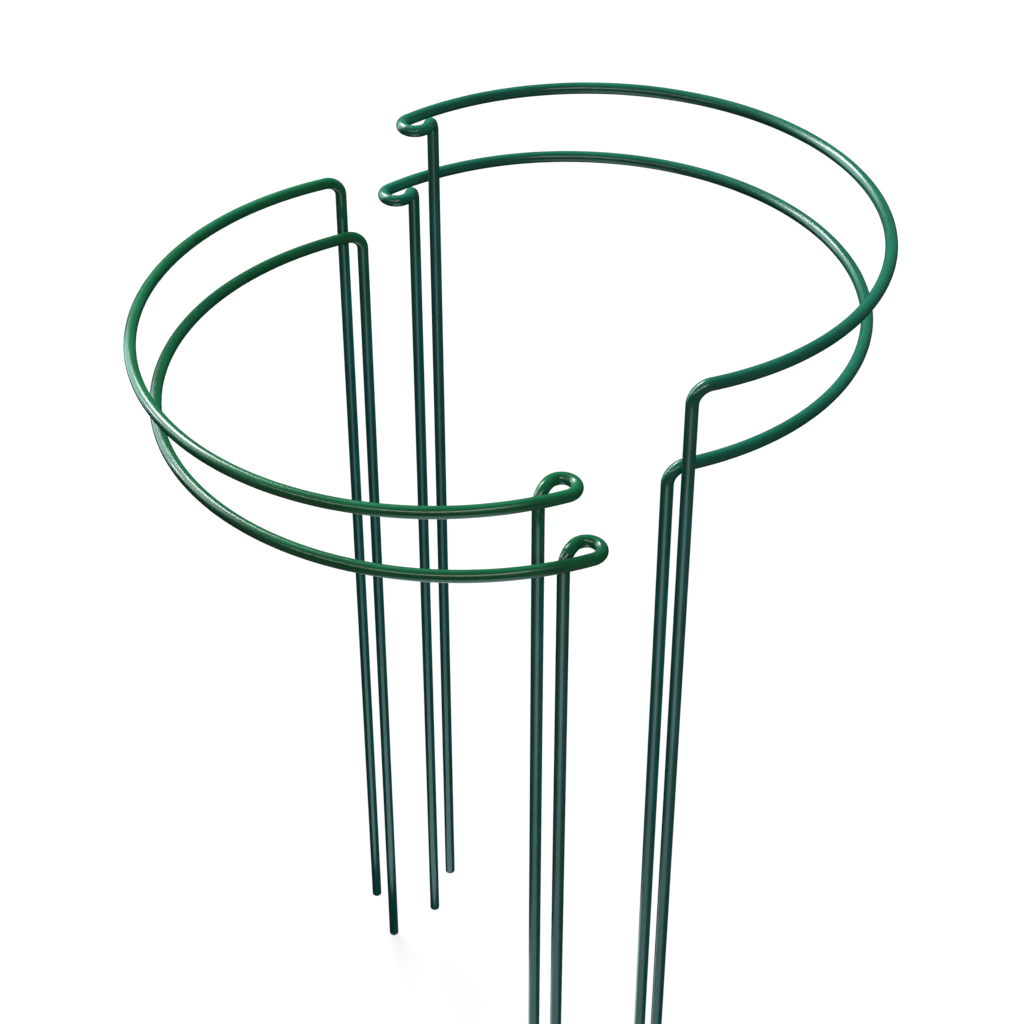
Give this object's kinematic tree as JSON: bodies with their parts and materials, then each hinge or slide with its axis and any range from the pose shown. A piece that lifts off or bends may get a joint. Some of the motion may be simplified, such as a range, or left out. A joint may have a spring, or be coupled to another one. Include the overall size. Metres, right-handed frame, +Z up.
{
  "type": "plant support ring stake set",
  "caption": "Half ring plant stakes of green plastic coated wire; each hoop has a plain leg and an eye leg, and a plain leg drops through another stake's eye to close a ring.",
  "frame": {"origin": "on the axis of the left high stake's plain leg, at the soil line", "axes": "+Z up along the legs, +X to the right of the picture, +Y away from the camera"},
  "size_m": [0.2944, 0.2576, 0.5049],
  "materials": {
    "green_coat": "glossy dark green plastic coat, smooth with faint lengthwise ripple",
    "steel_core": "drawn steel wire, hidden in the coat"
  },
  "bodies": {
    "left_high_stake": {"left_high_core": "steel_core", "left_high_plain_leg": "green_coat", "left_high_hoop": "green_coat", "left_high_eye": "green_coat", "left_high_eye_leg": "green_coat"},
    "left_low_stake": {"left_low_core": "steel_core", "left_low_plain_leg": "green_coat", "left_low_hoop": "green_coat", "left_low_eye": "green_coat", "left_low_eye_leg": "green_coat"},
    "right_high_stake": {"right_high_core": "steel_core", "right_high_plain_leg": "green_coat", "right_high_hoop": "green_coat", "right_high_eye": "green_coat", "right_high_eye_leg": "green_coat"},
    "right_low_stake": {"right_low_core": "steel_core", "right_low_plain_leg": "green_coat", "right_low_hoop": "green_coat", "right_low_eye": "green_coat", "right_low_eye_leg": "green_coat"}
  },
  "joints": [
    {"name": "left_low_depth", "type": "slide", "parent": "left_high_stake", "child": "left_low_stake", "axis": [0, 0, 1], "range_m": [-0.15, 0.014]},
    {"name": "right_high_depth", "type": "slide", "parent": "left_high_stake", "child": "right_high_stake", "axis": [0, 0, 1], "range_m": [-0.15, 0.1]},
    {"name": "right_low_depth", "type": "slide", "parent": "right_high_stake", "child": "right_low_stake", "axis": [0, 0, 1], "range_m": [-0.15, 0.03]}
  ]
}
